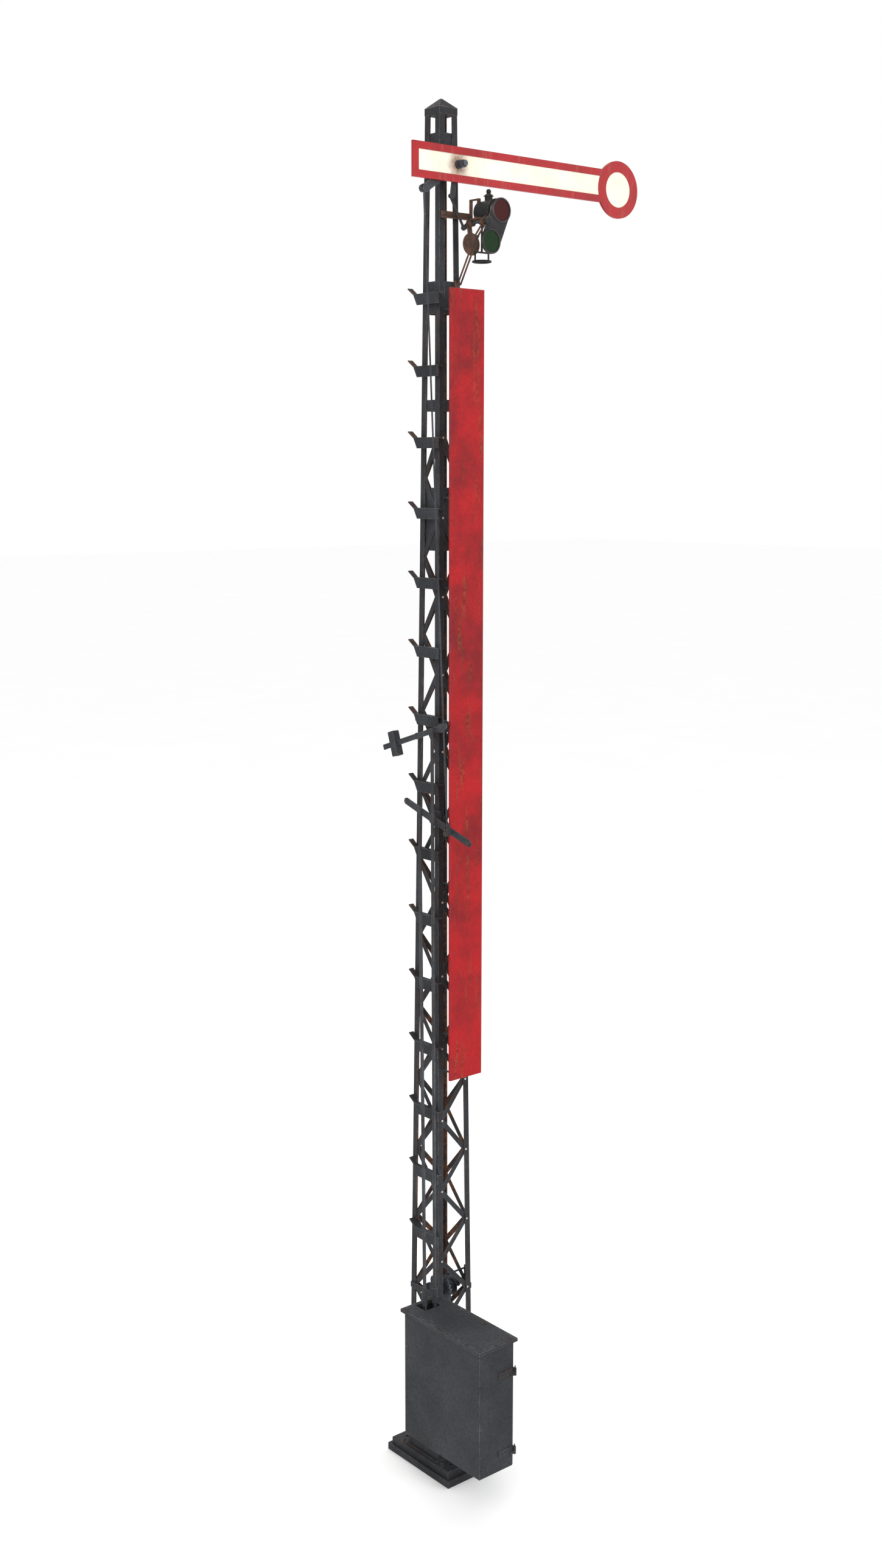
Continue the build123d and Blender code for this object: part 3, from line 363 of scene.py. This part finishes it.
def hex_bolts(name, body, slot, spots, axis, radius=0.009, height=0.008):
    """Hexagon heads on round washers."""
    mesh = bmesh.new()
    out = Vector(axis)
    for spot in spots:
        washer = radius * 1.5
        add_lathe(mesh, spot, axis, [(washer, -0.0002), (washer, 0.0016), (washer * 0.93, 0.0022)])
        add_lathe(mesh, Vector(spot) + out * 0.0021, axis, hex_profile(radius, height), 6)
        end = [(radius * 0.45, 0), (radius * 0.45, 0.003), (radius * 0.3, 0.0045)]
        add_lathe(mesh, Vector(spot) + out * (height + 0.0018), axis, end, 16)
    finish_piece(mesh, name, body, slot)


def rivet_heads(name, body, slot, spots, axis, radius=0.006):
    """Domed heads."""
    mesh = bmesh.new()
    dome = [(radius * math.cos(t), radius * 0.62 * math.sin(t)) for t in (0, 0.35, 0.7, 1.05, 1.35)]
    for spot in spots:
        add_lathe(mesh, spot, axis, dome, 18)
    finish_piece(mesh, name, body, slot)


def grid(values_a, values_b, build):
    return [build(a, b) for a in values_a for b in values_b]


def box_of(node):
    low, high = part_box(node)
    return Vector(low), Vector(high)


def steps_between(low, high, count):
    return [low + (high - low) * i / (count - 1) for i in range(count)]


def head_rivets():
    """Rivets through the corner angles into the head's tube."""
    face = MAST_HALF_AT_HEAD
    across = (-face + 0.019, face - 0.019)
    rivet_heads("head_rivets_front", "mast", "mast_paint",
                grid(across, HEAD_RIVETS_Z, lambda x, z: (x, -face, z)), FRONT)
    rivet_heads("head_rivets_left", "mast", "mast_paint",
                grid(across, HEAD_RIVETS_Z, lambda y, z: (-face, y, z)), LEFT)


def lid_screws():
    low, high = box_of("drive_lid")
    inset = 0.032
    along = steps_between(low.y + inset, high.y - inset, 4)
    spots = grid((low.x + inset, high.x - inset), along, lambda x, y: (x, y, high.z - 0.0001))
    hex_bolts("lid_screws", "mast", "box_paint", spots, UP, 0.0065, 0.0045)


def door_fittings():
    """Rivets on the hinge straps, and the round plate and pin of the lock."""
    strap_x, outer_x = -0.14295, -0.1475
    spots = grid(DOOR_HINGES_Z, (-0.83, -0.79, -0.75), lambda z, y: (strap_x, y, z))
    rivet_heads("hinge_rivets", "drive_door", "box_paint", spots, RIGHT, 0.0055)
    high = box_of("drive_door")[1]
    rose = [(0.026, -0.0002), (0.026, 0.003), (0.022, 0.0048),
            (0.0125, 0.0055), (0.0125, 0.012), (0.010, 0.0145)]
    mesh = bmesh.new()
    add_lathe(mesh, (outer_x, high.y - 0.055, 0.8), RIGHT, rose, 36)
    finish_piece(mesh, "door_lock_rose", "drive_door", "shaft_steel")


def box_seams():
    """Rivet rows down the drive box's corners."""
    along = steps_between(0.45, 1.15, 9)
    spots = grid(BOX_SEAMS_X, along, lambda x, z: (x, BOX_END_Y, z))
    rivet_heads("box_rivets_end", "mast", "box_paint", spots, FRONT, 0.005)
    spots = grid(BOX_SEAMS_Y, along, lambda y, z: (BOX_SIDE_X, y, z))
    rivet_heads("box_rivets_side", "mast", "box_paint", spots, LEFT, 0.005)


def base_bolts():
    """Bolts on the upper base plate, and rivets at the pedestal's head and foot."""
    plate = box_of("base_plate_upper")[1]
    spots = grid((-0.15, 0.15), (-0.185, 0.185), lambda x, y: (x, y, plate.z - 0.0001))
    hex_bolts("plate_bolts", "mast", "mast_paint", spots, UP, 0.014, 0.011)
    across = steps_between(-0.12, 0.12, 3)
    spots = grid(across, PEDESTAL_RIVETS_Z, lambda y, z: (PEDESTAL_FACE, y, z))
    rivet_heads("pedestal_rivets_left", "mast", "mast_paint", spots, LEFT, 0.009)
    spots = grid(across, PEDESTAL_RIVETS_Z, lambda x, z: (x, PEDESTAL_FACE, z))
    rivet_heads("pedestal_rivets_front", "mast", "mast_paint", spots, FRONT, 0.009)


def lever_bolts():
    """Nuts at the rod lever's ends, and bolts of the lamp bracket and the arm's bearing."""
    hex_bolts("rod_lever_nuts", "rod_lever", "lever_paint", ROD_LEVER_NUTS, LEFT, 0.010, 0.008)
    hex_bolts("lamp_bracket_bolts", "mast", "rusted_steel", LAMP_BRACKET_BOLTS, FRONT, 0.008, 0.006)
    spots = grid((-0.045, 0.045), BEARING_BOLTS_Z, lambda x, z: (x, BEARING_FACE_Y, z))
    hex_bolts("arm_bearing_bolts", "mast", "rusted_steel", spots, FRONT, 0.009, 0.007)


def add_ring(mesh, centre, radius, thick, sides=56, turns=10):
    """A round wire ring in a plane of X and Z."""
    rings = []
    for i in range(sides):
        a = 2 * math.pi * i / sides
        out = Vector((math.cos(a), 0, math.sin(a)))
        ring = []
        for j in range(turns):
            b = 2 * math.pi * j / turns
            spot = centre + out * (radius + thick * math.cos(b))
            ring.append(mesh.verts.new(spot + Vector((0, thick * math.sin(b), 0))))
        rings.append(ring)
    for i in range(sides):
        near, far = rings[i], rings[(i + 1) % sides]
        for j in range(turns):
            k = (j + 1) % turns
            mesh.faces.new((near[j], far[j], far[k], near[k]))


def lens_rims():
    """Wire rings that hold the glasses."""
    for name, node in (("red_rim", "red_glass"), ("green_rim", "green_glass")):
        low, high = box_of(node)
        middle = (low + high) / 2
        mesh = bmesh.new()
        add_ring(mesh, Vector((middle.x, LENS_FRONT_Y, middle.z)), 0.0622, 0.0024)
        piece = finish_piece(mesh, name, "spectacle", "lever_paint")
        for face in piece.data.polygons:
            face.use_smooth = True


head_rivets()
lid_screws()
door_fittings()
box_seams()
base_bolts()
lever_bolts()
lens_rims()


# Floor, light and camera

def floor():
    bpy.ops.mesh.primitive_plane_add(size=240, location=(0, 0, -0.0005))
    plane = bpy.context.object
    plane.name = "floor"
    g = Graph("floor")
    duller = tuple(c * 0.99 for c in FLOOR_COLOUR)
    colour = g.mix(g.steps(g.noise(0.7, 4), 0.3, 0.7), FLOOR_COLOUR, duller)
    plane.data.materials.append(g.finish(colour, 0.9))


def area_light(name, place, target, size, power, colour):
    light = bpy.data.lights.new(name, "AREA")
    light.size = size
    light.energy = power
    light.color = colour
    lamp = bpy.data.objects.new(name, light)
    lamp.location = place
    lamp.rotation_euler = (Vector(target) - Vector(place)).to_track_quat("-Z", "Y").to_euler()
    bpy.context.scene.collection.objects.link(lamp)


def light():
    world = bpy.data.worlds.new("studio")
    world.use_nodes = True
    sky = world.node_tree.nodes["Background"]
    sky.inputs["Color"].default_value = (1.0, 1.0, 1.0, 1)
    sky.inputs["Strength"].default_value = 1.0
    bpy.context.scene.view_settings.view_transform = "Standard"
    bpy.context.scene.world = world
    area_light("key", (-9, -10, 14), (0, 0, 4.5), 7, 900, (1.0, 0.98, 0.95))
    area_light("fill", (8, -9, 7), (0, 0, 4.0), 7, 300, (0.95, 0.97, 1.0))
    area_light("back", (4, 9, 11), (0, 0, 5.0), 6, 300, (1.0, 1.0, 1.0))


def camera():
    data = bpy.data.cameras.new("camera")
    data.sensor_fit = "VERTICAL"
    data.sensor_height = 36
    data.lens = CAMERA_LENS
    view = bpy.data.objects.new("camera", data)
    view.location = CAMERA_PLACE
    view.rotation_euler = (math.radians(90 + CAMERA_PITCH), 0, math.radians(CAMERA_HEADING - 90))
    bpy.context.scene.collection.objects.link(view)
    bpy.context.scene.camera = view


floor()
light()
camera()
